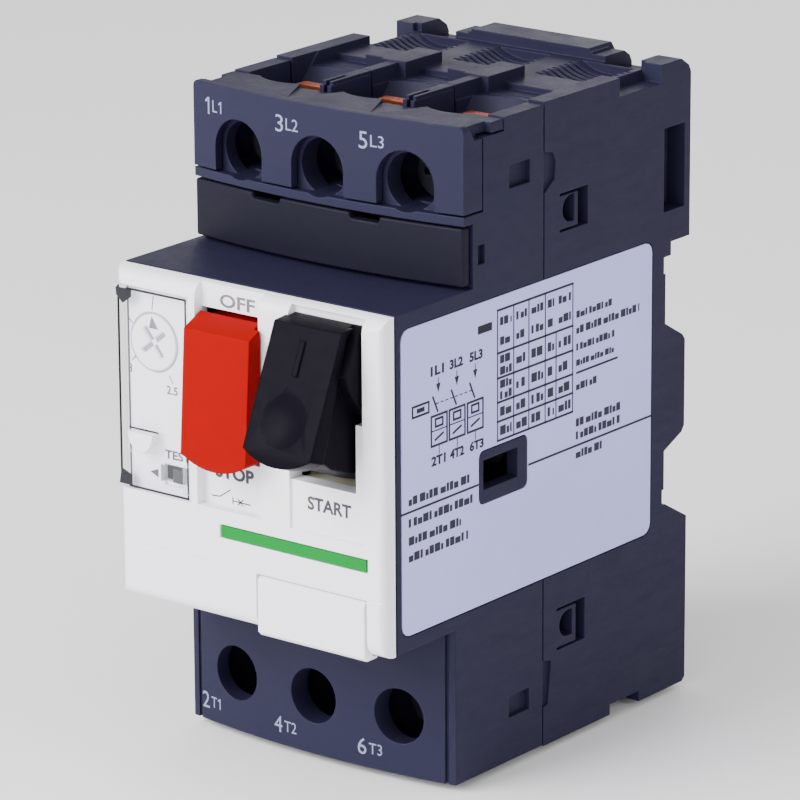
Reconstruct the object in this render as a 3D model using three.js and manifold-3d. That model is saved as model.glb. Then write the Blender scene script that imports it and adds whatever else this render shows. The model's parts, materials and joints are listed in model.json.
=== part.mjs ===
// Motor protection breaker, 45 mm wide, three poles, with a red stop and a black start push button.
// Units are millimetres.  +X is to the right of a person facing the front, -Y is the front, +Z is up.
// The origin is the centre of the DIN-rail seat: y = 0 is the plane the rail touches, z = 0 its centreline.

import * as THREE from 'three';
import { mergeVertices } from 'three/addons/utils/BufferGeometryUtils.js';
import Module from 'manifold-3d';

const wasm = await Module();
wasm.setup();

// ---------------------------------------------------------------- driving dimensions

const WIDTH = 45;
const HEIGHT = 89;
const HALF_W = WIDTH / 2;
const HALF_H = HEIGHT / 2;
const POLE_PITCH = 13.9;
const POLES = [-POLE_PITCH, 0, POLE_PITCH];

const COVER_FRONT = -62.0;        // white front cover
const COVER_REAR = -59.4;
const HOUSING_FRONT = -59.1;      // dark body behind the white cover
const SEAM = -27.5;               // parting plane of the two dark housings
const PART_GAP = 0.3;
const UPPER_FACE = -44.9;         // terminal faces, at their side edges
const LOWER_FACE = -46.8;
const CROWN = 2.0;                // the terminal faces bulge by this much at their middle
const REAR_FACE = 5.5;

const CELL_HALF = 6.0;            // half width of one pole's chamber
const HOLE_R = 3.85;              // screwdriver hole
const HOLE_Z = 36.1;
const WIRE_AXIS = -31.6;          // axis of the round wire funnels
const FUNNEL_R = 6.4;
const WALL_IN = 20.7;             // inner face of the side walls

const SEAT_HALF = 15.3;           // proud land of the rail seat
const RAIL_HALF = 17.7;           // slot for the 35 mm rail

const BUTTON_PIVOT = { y: -54.0, z: 19.0 };
const BUTTON_SWING = 19.7;        // degrees between the pressed and the raised button
const SKIRT_R = 19.8;             // the button skirts turn inside this radius

const SCREW_R = 2.0;
const HEAD_R = 3.3;
const PLATE = 1.4;                // copper strip thickness

const colours = {
  shell: { color: 0x32324a, roughness: 0.55, metalness: 0.0 },
  white: { color: 0xf0f0f6, roughness: 0.45, metalness: 0.0 },
  clear: { color: 0xe6e8ee, roughness: 0.15, metalness: 0.0, transparent: true, opacity: 0.35 },
  red: { color: 0xe00800, roughness: 0.35, metalness: 0.0 },
  black: { color: 0x1a1a20, roughness: 0.4, metalness: 0.0 },
  green: { color: 0x05cd5f, roughness: 0.5, metalness: 0.0 },
  label: { color: 0xbebed6, roughness: 0.5, metalness: 0.0 },
  beige: { color: 0xd8cfb8, roughness: 0.6, metalness: 0.0 },
  copper: { color: 0xbe5c3c, roughness: 0.35, metalness: 1.0 },
  steel: { color: 0xb8bcc2, roughness: 0.35, metalness: 1.0 },
  bimetal: { color: 0x9a9488, roughness: 0.4, metalness: 1.0 },
  bakelite: { color: 0x2a2622, roughness: 0.6, metalness: 0.0 },
};

// ---------------------------------------------------------------- solid modelling helpers

function toSolid(geometry) {
  const bare = geometry.clone();
  bare.deleteAttribute('normal');
  bare.deleteAttribute('uv');
  const merged = mergeVertices(bare, 1e-4);
  return new wasm.Manifold(new wasm.Mesh({
    numProp: 3,
    vertProperties: new Float32Array(merged.attributes.position.array),
    triVerts: new Uint32Array(merged.index.array),
  }));
}

function toGeometry(solid) {
  const mesh = solid.getMesh();
  const geometry = new THREE.BufferGeometry();
  geometry.setAttribute('position', new THREE.BufferAttribute(mesh.vertProperties, 3));
  geometry.setIndex(new THREE.BufferAttribute(mesh.triVerts, 1));
  geometry.computeVertexNormals();
  return geometry;
}

function join(first, ...others) {
  return others.reduce((sum, solid) => sum.add(solid), first);
}

function cut(solid, ...tools) {
  return tools.reduce((rest, tool) => rest.subtract(tool), solid);
}

function block(x0, x1, y0, y1, z0, z1) {
  const geometry = new THREE.BoxGeometry(x1 - x0, y1 - y0, z1 - z0);
  geometry.translate((x0 + x1) / 2, (y0 + y1) / 2, (z0 + z1) / 2);
  return toSolid(geometry);
}

function mirroredBlocks(x0, x1, y0, y1, z0, z1) {
  return join(block(x0, x1, y0, y1, z0, z1), block(-x1, -x0, y0, y1, z0, z1));
}

function extruded(points, depth) {
  const shape = new THREE.Shape(points.map(([u, v]) => new THREE.Vector2(u, v)));
  return new THREE.ExtrudeGeometry(shape, { depth, bevelEnabled: false });
}

// Outline in (y, z), extruded along X.
function prismX(points, x0, x1) {
  const geometry = extruded(points, x1 - x0);
  geometry.applyMatrix4(new THREE.Matrix4().set(0, 0, 1, x0, 1, 0, 0, 0, 0, 1, 0, 0, 0, 0, 0, 1));
  return toSolid(geometry);
}

// Outline in (x, z), extruded along Y.
function prismY(points, y0, y1) {
  const geometry = extruded(points, y1 - y0);
  geometry.applyMatrix4(new THREE.Matrix4().set(1, 0, 0, 0, 0, 0, -1, y1, 0, 1, 0, 0, 0, 0, 0, 1));
  return toSolid(geometry);
}

// Outline in (x, y), extruded along Z.
function prismZ(points, z0, z1) {
  const geometry = extruded(points, z1 - z0);
  geometry.translate(0, 0, z0);
  return toSolid(geometry);
}

function arc(cu, cv, radius, from, to, steps) {
  const points = [];
  for (let i = 0; i <= steps; i += 1) {
    const angle = THREE.MathUtils.degToRad(from + (to - from) * i / steps);
    points.push([cu + radius * Math.cos(angle), cv + radius * Math.sin(angle)]);
  }
  return points;
}

function circle(cu, cv, radius, steps) {
  return arc(cu, cv, radius, 0, 360, steps).slice(0, steps);
}

function rodX(y, z, radius, x0, x1, steps = 16) {
  return prismX(circle(y, z, radius, steps), x0, x1);
}

function rodY(x, z, radius, y0, y1, steps = 16) {
  return prismY(circle(x, z, radius, steps), y0, y1);
}

function rodZ(x, y, radius, z0, z1, steps = 16) {
  return prismZ(circle(x, y, radius, steps), z0, z1);
}

function cone(x, y, z0, z1, r0, r1, steps = 24) {
  const geometry = new THREE.CylinderGeometry(r1, r0, z1 - z0, steps);
  geometry.rotateX(Math.PI / 2);
  geometry.translate(x, y, (z0 + z1) / 2);
  return toSolid(geometry);
}

// The front of a terminal face at x, when its side edges are at y.
function crownY(y, x) {
  return y - CROWN * (1 - (x / HALF_W) ** 2);
}

// A front line that bulges towards the viewer, from left to right.
function crownLine(y, halfWidth, steps = 10) {
  const points = [];
  for (let i = 0; i <= steps; i += 1) {
    const x = halfWidth * (2 * i / steps - 1);
    points.push([x, crownY(y, x)]);
  }
  return points;
}

function crownedBody(y, halfWidth, back, z0, z1) {
  return prismZ([...crownLine(y, halfWidth), [halfWidth, back], [-halfWidth, back]], z0, z1);
}

function crownedPlate(y, halfWidth, thickness, z0, z1) {
  const inner = crownLine(y + thickness, halfWidth).reverse();
  return prismZ([...crownLine(y, halfWidth), ...inner], z0, z1);
}

function perPole(make) {
  return POLES.map(make).reduce((sum, solid) => sum.add(solid));
}

// A helical wire with plain ends, its axis along +Z from z = 0.
function helix(radius, wire, length, turns) {
  const stepsPerTurn = 8;
  const steps = turns * stepsPerTurn;
  const points = [];
  for (let i = 0; i <= steps; i += 1) {
    const angle = 2 * Math.PI * i / stepsPerTurn;
    const height = wire / 2 + (length - wire) * i / steps;
    points.push(new THREE.Vector3(radius * Math.cos(angle), radius * Math.sin(angle), height));
  }
  const section = new THREE.Shape(circle(0, 0, wire / 2, 5).map(([u, v]) => new THREE.Vector2(u, v)));
  const path = new THREE.CatmullRomCurve3(points);
  return new THREE.ExtrudeGeometry(section, { steps, extrudePath: path, bevelEnabled: false });
}

// ---------------------------------------------------------------- the assembly

const group = new THREE.Group();

function addGeometry(name, geometry, look) {
  const material = new THREE.MeshStandardMaterial({ ...colours[look], flatShading: true });
  const mesh = new THREE.Mesh(geometry, material);
  mesh.name = name;
  group.add(mesh);
  return mesh;
}

function add(name, solid, look) {
  return addGeometry(name, toGeometry(solid), look);
}

// ---------------------------------------------------------------- openings shared by both housings

const DIAL = { x: -16.4, z: 13.0 };
const LABEL = { y0: -58.0, y1: -3.2, z0: -20.65, z1: 20.55, corner: 1.5 };
const LABEL_FLOOR = HALF_W - 0.3;
const HOOK_SLOTS = [                                         // a pocket with a D-shaped ring inside
  { y0: -24.2, y1: -17.9, z0: 26.25, z1: 31.5, hole: { front: -23.6, rear: -20.95, z0: 27.3, z1: 31.0 } },
  { y0: -24.6, y1: -18.2, z0: -31.7, z1: -25.8, hole: { front: -24.0, rear: -21.05, z0: -30.25, z1: -26.6 } },
];
const HOOK_DEPTH = 19.5;                                     // the slots open into the pole chambers
const HOOK_BAR = 0.75;                                       // thickness of the ring's straight bar
const SIDE_HOLE = { y0: -35.2, y1: -30.7 };                  // small square holes at the terminals
const SIDE_HOLE_Z = [[34.5, 37.6], [-38.2, -35.2]];
const SEAM_WEDGES = [                                        // shallow pry grooves beside the seam
  [[SEAM - 0.1, 37.9], [-25.7, 37.4], [-25.1, 36.2], [-25.3, 33.8], [SEAM - 0.1, 32.2]],
  [[SEAM - 0.1, -32.3], [-25.8, -32.8], [-26.45, -38.8], [SEAM - 0.1, -39.0]],
];
const SIDE_WINDOW = { y0: -40.8, y1: -33.35, z0: -4.95, z1: -0.9 };
const WINDOW_FRAME = { y0: -41.6, y1: -31.3, z0: -6.75, z1: 0.35, corner: 0.8 };
const BLIND_DEPTH = 0.9;
const POST = { in: 4.9, out: 9.0 };                          // raised posts on the deck between the poles
const DIVIDER = { in: 6.1, out: 7.8, front: -35.8, top: 44.7 };   // walls between the wire funnels
const EDGE_GROOVE = { in: 20.9, out: 21.5, depth: 0.35 };    // beside the corner posts of the lower terminal face

// A rectangle with round corners in (y, z), grown by a margin all round.
function roundedOutline({ y0, y1, z0, z1, corner }, margin) {
  const radius = corner + margin;
  return [
    ...arc(y1 - corner, z1 - corner, radius, 0, 90, 3), ...arc(y0 + corner, z1 - corner, radius, 90, 180, 3),
    ...arc(y0 + corner, z0 + corner, radius, 180, 270, 3), ...arc(y1 - corner, z0 + corner, radius, 270, 360, 3),
  ];
}

// The shallow recess of the rating label; the frame of the side window stands in it, flush with the wall.
function labelRecess() {
  const recess = prismX(roundedOutline(LABEL, 0.2), LABEL_FLOOR, HALF_W + 1);
  return cut(recess, prismX(roundedOutline(WINDOW_FRAME, 0), LABEL_FLOOR - 1, HALF_W + 2));
}

// The material round the ring is cut away: a rear slot, thin gaps above and below, and the D-shaped hole.
function hookSlot({ y0, y1, z0, z1, hole }) {
  const gap = 0.35;
  const barRear = hole.rear + HOOK_BAR;
  const pocket = bothSides([[y0, z0], [y1, z0], [y1, z1], [y0, z1]], HOOK_DEPTH, HALF_W + 1.5);
  const ring = mirroredBlocks(HOOK_DEPTH - 1, HALF_W + 2, y0 - 1, barRear, z0 + gap, z1 - gap);
  const radius = (hole.z1 - hole.z0) / 2;
  const round = arc(hole.front + radius, hole.z0 + radius, radius, 90, 270, 8);
  const dHole = bothSides([[hole.rear, hole.z0], [hole.rear, hole.z1], ...round].reverse(), HOOK_DEPTH, HALF_W + 1.5);
  return join(cut(pocket, ring), dHole);
}

function bothSides(points, inner, outer) {
  return join(prismX(points, inner, outer), prismX(points, -outer, -inner));
}

// ---------------------------------------------------------------- rear housing

function rearHousing() {
  const outline = [
    [SEAM, HALF_H], [3.3, HALF_H], [5.0, 43.4], [REAR_FACE, 42.4], [REAR_FACE, 19.6],
    [1.2, 19.6], [1.2, RAIL_HALF], [-0.4, RAIL_HALF], [-0.4, SEAT_HALF], [0, SEAT_HALF],
    [0, -SEAT_HALF], [-0.4, -SEAT_HALF], [-0.4, -17.5], [0.35, -17.5], [5.4, -20.4],
    [5.4, -43.9], [4.8, -HALF_H], [SEAM, -HALF_H],
  ];
  const bump = [[-0.5, 8.3], [0, 8.3], [4.1, 5.9], [4.7, 5.1], [4.7, -7.2], [4.1, -8.0], [0, -9.8], [-0.5, -9.8]];
  const shell = join(
    prismX(outline, -HALF_W, HALF_W),
    bothSides(bump, 18.4, HALF_W),
    block(-13, 13, 1.4, 4.6, 16.0, 20.0),
  );
  const deckZ = 43.4;
  const ledgeZ = 42.6;
  const raisedZ = 44.9;
  const stepY = -18.0;
  const cell = [
    [SEAM - 1, 35.5], [SEAM, 35.5], [-20.5, 39.9], [3.6, 39.9], [3.6, 22.5], [-2.0, 20.0],
    [-2.0, -37.0], [-20.5, -37.8], [SEAM, -35.5], [SEAM - 1, -35.5],
  ];
  const body = cut(shell,
    block(-19.6, 19.6, SEAM - 1, -0.6, deckZ, 46),
    block(-19.6, 19.6, SEAM - 1, stepY, ledgeZ, 46),
    perPole((x) => rimGroove(x, ledgeZ)),
    mirroredBlocks(12.7, 18.6, -1.4, 7, 41.9, 46),
    mirroredBlocks(10.6, 12.7, -1.4, 7, 44.2, 46),
    mirroredBlocks(19.2, 24, -10.9, -1.3, 42.0, 46),
    perPole((x) => prismX(cell, x - CELL_HALF, x + CELL_HALF)),
    perPole((x) => wireFunnel(x, 1)),
    perPole((x) => wireFunnel(x, -1)),
    perPole((x) => ribbedTrough(x, deckZ)),
    block(-13.5, 13.5, SEAM - 1, -2.3, 11.5, 16.5),
    ...HOOK_SLOTS.map(hookSlot),
    mirroredBlocks(HOOK_DEPTH, 24, -0.6, 4.2, 24.0, 35.6),
    labelRecess(),
    clipChannel(),
    ...SEAM_WEDGES.map((outline) => bothSides(outline, HALF_W - 0.5, 24)),
  );
  const posts = mirroredBlocks(POST.in, POST.out, -21.8, -13.8, ledgeZ - 0.5, raisedZ);
  const tabs = join(
    block(POST.in - 4.4, POST.in + 0.5, -19.6, -16.2, ledgeZ - 0.5, 44.4),
    block(-POST.out - 4.4, -POST.out + 0.5, -19.6, -16.2, ledgeZ - 0.5, 44.4),
  );
  const dividers = mirroredBlocks(DIVIDER.in, DIVIDER.out, SEAM, -21.0, ledgeZ - 3, DIVIDER.top);
  const rearBar = prismY([[-11.2, deckZ - 0.5], [11.2, deckZ - 0.5], [9.9, raisedZ], [-9.9, raisedZ]], -0.6, 4.6);
  const springSeat = block(-1.8, 1.8, -1.0, 3.9, -36.8, -35.3);
  return join(body, posts, tabs, dividers, rearBar, springSeat);
}

// A thin round groove on the ledge, just behind the funnel's rim.
function rimGroove(x, ledgeZ) {
  const ring = cut(rodZ(x, WIRE_AXIS, 11.2, ledgeZ - 0.4, 46, 40), rodZ(x, WIRE_AXIS, 10.7, ledgeZ - 1, 47, 40));
  return ring.intersect(block(x - 5.6, x + 5.6, SEAM, -18.0, ledgeZ - 1, 46));
}

// The rear half of the round funnel that guides a wire down to its clamp; side is +1 above, -1 below.
function wireFunnel(x, side) {
  const low = Math.min(side * 37.2, side * 46);
  const high = Math.max(side * 37.2, side * 46);
  const r0 = side > 0 ? 5.9 : 12.3;
  const r1 = side > 0 ? 12.3 : 5.9;
  const guide = cone(x, WIRE_AXIS, low, high, r0, r1);
  return guide.intersect(block(x - 5.9, x + 5.9, SEAM - 1, -20.4, low, high));
}

// A shallow round trough with cross grooves on the top deck.
function ribbedTrough(x, deckZ) {
  const radius = 8.1;
  const depth = 1.3;
  const centreZ = deckZ + radius - depth;
  const grooves = [];
  for (let i = 0; i < 7; i += 1) {
    const y = -11.4 + 1.25 * i;
    grooves.push(rodY(x, centreZ, radius + 0.5, y, y + 0.65, 48));
  }
  return join(rodY(x, centreZ, radius, -11.6, -1.6, 48), ...grooves).intersect(
    block(x - 5, x + 5, -12, -1, deckZ - 3, deckZ + 2));
}

// The channel of the sliding rail clip, open at the rear, at the bottom and under the rail slot.
function clipChannel() {
  return join(
    block(-6.5, 6.5, -0.7, 3.9, -46, -17.0),
    block(-4.8, 4.8, 3.8, 7, -46, -17.0),
    block(-6.5, 6.5, -11.0, 0, -46, -40.8),
    block(-24, 24, -12.3, -5.5, -46, -43.0),
  );
}

add('rear_housing', rearHousing(), 'shell');

// ---------------------------------------------------------------- front housing

function frontHousing() {
  const back = SEAM - PART_GAP;
  const through = SEAM + 1;
  const middle = block(-HALF_W, HALF_W, HOUSING_FRONT, back, -22.7, 22.8);
  const auxFrame = block(-HALF_W, HALF_W, -42.9, back, 22.0, 31.6);
  const lip = crownedBody(UPPER_FACE + 0.1, HALF_W, back, 31.4, 32.6);
  const upperFront = crownedBody(-43.3, 20.8, -40.0, 32.0, 42.4);
  const upperBack = block(-HALF_W, HALF_W, -40.7, back, 32.0, 44.2);
  const dividers = mirroredBlocks(DIVIDER.in, DIVIDER.out, DIVIDER.front, back, 40.0, DIVIDER.top);
  const lower = crownedBody(LOWER_FACE, HALF_W, back, -44.3, -22.0);
  const body = cut(join(middle, auxFrame, lip, upperFront, upperBack, dividers, lower),
    block(-WALL_IN, WALL_IN, -57.3, through, -20.8, 21.4),
    block(-WALL_IN, WALL_IN, -50, -34.4, 23.6, 31.0),
    block(-24, 24, -41.0, -36.3, 42.4, 46),
    perPole((x) => block(x - CELL_HALF, x + CELL_HALF, -42.0, through, 32.6, 41.2)),
    perPole((x) => block(x - CELL_HALF, x + CELL_HALF, -37.6, through, 41.0, 46)),
    perPole((x) => block(x - CELL_HALF, x + CELL_HALF, -45.2, through, -41.5, -26.0)),
    perPole((x) => block(x - CELL_HALF, x + CELL_HALF, -39.6, through, -46, -41.0)),
    perPole((x) => block(x - 5, x + 5, -33.0, through, 20.0, 34.0)),
    perPole((x) => block(x - 5, x + 5, -34.6, through, -30.0, -20.0)),
    perPole((x) => rodY(x, HOLE_Z, HOLE_R, -52, -41, 28)),
    perPole((x) => rodY(x, -HOLE_Z, HOLE_R, -52, -44, 28)),
    mirroredBlocks(6.65, 7.25, -37.0, -31.8, 42.6, 46),
    block(-8.7, 2.9, -60, -56, -3.4, 21.4),
    block(6.9, 19.6, -60, -56, -3.4, 21.4),
    rodY(DIAL.x, DIAL.z, 2.6, -60, -56),
    block(-16.0, -11.2, -60, -56, -6.4, -3.2),
    labelRecess(),
    sideWindow(),
    ...SIDE_HOLE_Z.map(([z0, z1]) => mirroredBlocks(HALF_W - BLIND_DEPTH, 24, SIDE_HOLE.y0, SIDE_HOLE.y1, z0, z1)),
    mirroredBlocks(HALF_W - BLIND_DEPTH, 24, -41.9, -40.4, 25.7, 28.3),
    lowerEdgeGrooves(),
  );
  return body;
}

// Thin upright grooves that set the lower terminal face off from its corner posts.
function lowerEdgeGrooves() {
  const floor = crownY(LOWER_FACE, EDGE_GROOVE.out) + EDGE_GROOVE.depth;
  return mirroredBlocks(EDGE_GROOVE.in, EDGE_GROOVE.out, floor - 2, floor, -46, -22.7);
}

// The opening for a side-mounted accessory.
function sideWindow() {
  const { y0, y1, z0, z1 } = SIDE_WINDOW;
  return mirroredBlocks(20, 24, y0, y1, z0, z1);
}

add('front_housing', frontHousing(), 'shell');

// ---------------------------------------------------------------- upper terminal cover

function upperTerminalCover() {
  const bottom = 32.9;
  const lipTop = HALF_H;
  const stripTop = HALF_H - 0.45;
  const corner = 0.8;
  const faceAndStrip = join(
    crownedPlate(UPPER_FACE, HALF_W, 1.3, bottom, lipTop),
    crownedBody(UPPER_FACE, HALF_W, -36.6, 42.7, stripTop),
    mirroredBlocks(21.1, HALF_W, UPPER_FACE, -41.0, bottom, stripTop),
  );
  const outline = [
    [-HALF_W, bottom], [HALF_W, bottom],
    ...arc(HALF_W - corner, lipTop - corner, corner, 0, 90, 4),
    ...arc(corner - HALF_W, lipTop - corner, corner, 90, 180, 4),
  ];
  const facet = [[-44.2, 45], [-42.6, 42.35], [-39.1, 42.35], [-39.1, 45]];
  return cut(faceAndStrip.intersect(prismY(outline, -50, -30)),
    perPole((x) => rodZ(x, WIRE_AXIS, FUNNEL_R, 42, 46, 32)),
    perPole((x) => archedNotch(x, HOLE_R + 0.5, bottom)),
    bothSides(facet, 21.4, 24),
    stripValley(POLE_PITCH / 2, stripTop),
    stripValley(-POLE_PITCH / 2, stripTop),
  );
}

// A shallow slope between two wire funnels, deepest at the rear edge of the top strip.
function stripValley(x, stripTop) {
  const halfWidth = 4.2;
  const front = -44.6;
  const rear = -36.0;
  const drop = 0.7;
  const wedge = prismX([[front, stripTop], [rear, stripTop - drop], [rear, stripTop + 1], [front, stripTop + 1]],
    x - halfWidth, x + halfWidth);
  return wedge.intersect(prismZ([[x, front], [x + halfWidth, rear], [x - halfWidth, rear]], 42, 46));
}

// An upside-down U open at the cover's lower edge.
function archedNotch(x, radius, bottom) {
  const outline = [...arc(x, HOLE_Z, radius, 0, 180, 16), [x - radius, bottom - 1], [x + radius, bottom - 1]];
  return prismY(outline, -50, -41.5);
}

add('upper_terminal_cover', upperTerminalCover(), 'shell');

// ---------------------------------------------------------------- blank cover of the auxiliary slot

function auxSlotCover() {
  const notches = join(block(-11.4, -6.6, -50, -42, 30.3, 32), block(5.2, 9.9, -50, -42, 30.3, 32));
  return cut(crownedPlate(UPPER_FACE, HALF_W - 0.2, 1.6, 23.3, 31.1), notches);
}

add('aux_slot_cover', auxSlotCover(), 'shell');

// ---------------------------------------------------------------- white front cover

const WINDOW = { x0: -22.5, x1: -9.8, z0: -7.2, z1: 20.2, thickness: 0.8, bend: 2.4 };
const WINDOW_FLOOR = -60.8;       // bottom of the recess under the window
const SEAL_LUG = { x0: -19.8, x1: -15.6, z0: -1.9, z1: 0.7, front: -62.6 };
// flank, crest: how deep the cap's side is at its lower and at its upper end
const STOP = { x0: -8.1, x1: 2.0, cap0: -8.1, cap1: 2.9, flank: 2.8, crest: 2.2 };
const START = { x0: 7.5, x1: 17.3, cap0: 7.1, cap1: 18.1, flank: 2.9, crest: 1.2 };
const OPENING_TOP = 19.3;

function frontCover() {
  const rightCorner = 1.0;
  const corner = 2.2;
  const low = -22.8;
  const high = 22.75;
  const side = [
    ...arc(COVER_FRONT + corner, high - corner, corner, 180, 90, 4), [COVER_REAR, high],
    [COVER_REAR, low], ...arc(COVER_FRONT + corner, low + corner, corner, 270, 180, 4),
  ];
  const plan = [
    ...arc(-HALF_W + corner, COVER_FRONT + corner, corner, 180, 270, 4),
    ...arc(HALF_W - rightCorner, COVER_FRONT + rightCorner, rightCorner, 270, 360, 3),
    [HALF_W, COVER_REAR], [-HALF_W, COVER_REAR],
  ];
  const plate = prismX(side, -HALF_W, HALF_W).intersect(prismZ(plan, low, high));
  const dialWell = rodY(DIAL.x, DIAL.z, 4.15, -61.5, -60.1, 28);
  const body = cut(plate,
    windowRecess(),
    dialWell,
    rodY(DIAL.x, DIAL.z, 2.4, -64, -58),
    block(-15.0, -10.1, -64, -60.3, -6.3, -3.3),
    block(-15.7, -11.4, -64, -58, -5.9, -3.6),
    block(-8.4, 2.3, -64, -60.5, -7.4, 24),
    block(-8.4, 2.3, -64, -58, -0.9, OPENING_TOP),
    block(7.2, 19.3, -64, -60.5, 8.2, 22.3),
    block(7.2, 19.3, -64, -61.6, -7.6, 8.3),
    block(7.2, 17.9, -64, -60.5, -1.0, 8.3),
    block(7.2, 19.3, -64, -58, 8.2, OPENING_TOP),
    block(7.2, 17.9, -64, -58, -1.0, 8.3),
    block(-24, 24, -64, -61.75, -15.1, -14.7),
    block(1.4, 19.8, -64, -60.0, -24, -15.1),
    block(-4.7, 20.1, -64, -61.65, -11.25, -9.35),
  );
  return join(body, sealLug());
}

// The half-round lug that stands through the flap and takes a seal wire.
function sealLug() {
  const radius = (SEAL_LUG.x1 - SEAL_LUG.x0) / 2;
  const rise = SEAL_LUG.z1 - SEAL_LUG.z0;
  const middle = SEAL_LUG.x0 + radius;
  const round = arc(0, 0, radius, 180, 360, 12).map(([u, v]) => [middle + u, SEAL_LUG.z1 + v * rise / radius]);
  return prismY(round, SEAL_LUG.front, WINDOW_FLOOR + 0.4);
}

// Everything in front of the recess floor, and around the window's bent left edge.
function windowRecess() {
  const clear = 0.3;
  const outline = [
    [-24, -64], [WINDOW.x1 + clear, -64], [WINDOW.x1 + clear, WINDOW_FLOOR], [-20.4, WINDOW_FLOOR],
    [-21.1, -60.3], [-21.3, COVER_REAR + 1], [-24, COVER_REAR + 1],
  ];
  return prismZ(outline, WINDOW.z0 - clear, WINDOW.z1 + clear);
}

add('front_cover', frontCover(), 'white');

function cornerBlank() {
  const front = COVER_FRONT - 0.15;
  const outline = [[front + 0.5, -15.3], [front, -15.7], [front, -22.9], [front + 0.6, -23.5], [COVER_REAR, -23.5],
    [COVER_REAR, -23.1], [-60.3, -23.1], [-60.3, -15.3]];
  return prismX(outline, 1.7, 19.5);
}

add('corner_blank', cornerBlank(), 'white');
add('front_stripe', block(-4.4, 19.8, -62.05, -61.75, -11.1, -9.5), 'green');

// ---------------------------------------------------------------- hinged clear window over the dial

function settingWindow() {
  const { x0, x1, z0, z1, thickness, bend } = WINDOW;
  const outer = arc(x0 + bend, COVER_FRONT + bend, bend, 180, 270, 5);
  const inner = arc(x0 + bend, COVER_FRONT + bend, bend - thickness, 270, 180, 5);
  const section = [[x0, COVER_REAR], ...outer, [x1, COVER_FRONT], [x1, COVER_FRONT + thickness],
    ...inner, [x0 + thickness, COVER_REAR]];
  const tab = block(x1 - 0.6, x1, COVER_FRONT - 0.5, COVER_FRONT + 0.2, -6.5, -2.5);
  const clear = 0.25;
  const swingRoom = 0.8;
  const lugSlot = block(SEAL_LUG.x0 - clear, SEAL_LUG.x1 + swingRoom, -64, WINDOW_FLOOR,
    SEAL_LUG.z0 - clear, SEAL_LUG.z1 + clear);
  return cut(join(prismZ(section, z0, z1), tab), lugSlot);
}

add('setting_window', settingWindow(), 'clear');

// ---------------------------------------------------------------- current setting dial with its cam

const DIAL_FACE = -61.0;
const CROSS = { arm: 2.45, half: 0.4, depth: 0.3, turn: 38 };    // screwdriver cross in the dial's face

function screwdriverCross() {
  const { arm, half, depth, turn } = CROSS;
  const front = DIAL_FACE - 1;
  const floor = DIAL_FACE + depth;
  const upright = join(block(-arm, arm, front, floor, -half, half), block(-half, half, front, floor, -arm, arm));
  return upright.rotate([0, -turn, 0]).translate([DIAL.x, 0, DIAL.z]);
}

function settingDial() {
  const face = rodY(DIAL.x, DIAL.z, 3.8, DIAL_FACE, -60.4, 28);
  const shaft = rodY(DIAL.x, DIAL.z, 2.0, -60.6, -56.8, 16);
  return cut(join(face, shaft), screwdriverCross());
}

add('setting_dial', settingDial(), 'white');
add('setting_cam', join(
  rodY(DIAL.x + 0.6, DIAL.z, 2.9, -56.5, -54.0, 20),
  rodY(DIAL.x, DIAL.z, 1.6, -54.2, -51.0, 12),
), 'beige');

// ---------------------------------------------------------------- push buttons

const CAP_TIP = [-61.1, 18.85];
const CAP_TOP = [-64.5, 17.3];
const CAP_LOW = [-65.6, 0.4];
const CAP_FOOT = [-65.5, -1.3];

// The cap and skirt in the pressed position, as an outline in (y, z).
function buttonSide() {
  const { y, z } = BUTTON_PIVOT;
  const skirt = arc(y, z, SKIRT_R, 241.5, 284, 8);
  return [
    CAP_TIP, CAP_TOP, CAP_LOW, CAP_FOOT, [-64.4, -1.4], ...skirt,
    [-50.6, 4.0], [-52.2, 17.6], [-52.1, 19.6], [-52.7, 20.4], [-54.0, 20.9], [-55.4, 20.4],
    [-58.9, 17.1], [-60.3, 16.6], [-60.9, 16.5],
  ];
}

// The part of the cap that stands out sideways over the white cover.
function capPlate(flank, crest) {
  return [
    [CAP_TIP[0] - 1.3, CAP_TIP[1] - 0.6], CAP_TOP, CAP_LOW, CAP_FOOT,
    [CAP_FOOT[0] + flank, CAP_FOOT[1]], [CAP_LOW[0] + flank, CAP_LOW[1]],
    [CAP_TOP[0] + crest, CAP_TOP[1] - 0.4],
  ];
}

function buttonHollow() {
  return [[-62.4, 15.0], [-63.6, 3.4], [-60.6, 2.4], [-47.0, 1.6], [-47.0, 9.0], [-54.0, 15.4]];
}

// The lower edge of the cap bows downwards.
function capFront(x0, x1) {
  const bow = 1.7;
  const half = (x1 - x0) / 2;
  const edgeZ = 0.6;
  const radius = (half * half + bow * bow) / (2 * bow);
  const span = THREE.MathUtils.radToDeg(Math.asin(half / radius));
  const lowerEdge = arc(x0 + half, edgeZ - bow + radius, radius, 270 - span, 270 + span, 10);
  return [[x0, 25], ...lowerEdge, [x1, 25]];
}

function pressedButton({ x0, x1, cap0, cap1, flank, crest }) {
  const wall = 1.3;
  const hollow = prismX(buttonHollow(), x0 + wall, x1 - wall);
  const bore = rodX(BUTTON_PIVOT.y, BUTTON_PIVOT.z, 1.1, x0 - 1, x1 + 1, 12);
  const capAndSkirt = join(prismX(buttonSide(), x0, x1), prismX(capPlate(flank, crest), cap0, cap1));
  return cut(capAndSkirt.intersect(prismY(capFront(cap0, cap1), -70, -40)), hollow, bore);
}

function swungOut(solid) {
  const { y, z } = BUTTON_PIVOT;
  return solid.translate([0, -y, -z]).rotate([-BUTTON_SWING, 0, 0]).translate([0, y, z]);
}

function thumbDimple(x, y, z) {
  const radius = 11.1;
  const geometry = new THREE.SphereGeometry(radius, 40, 72);
  geometry.translate(x, y - radius, z);
  return toSolid(geometry);
}

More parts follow.
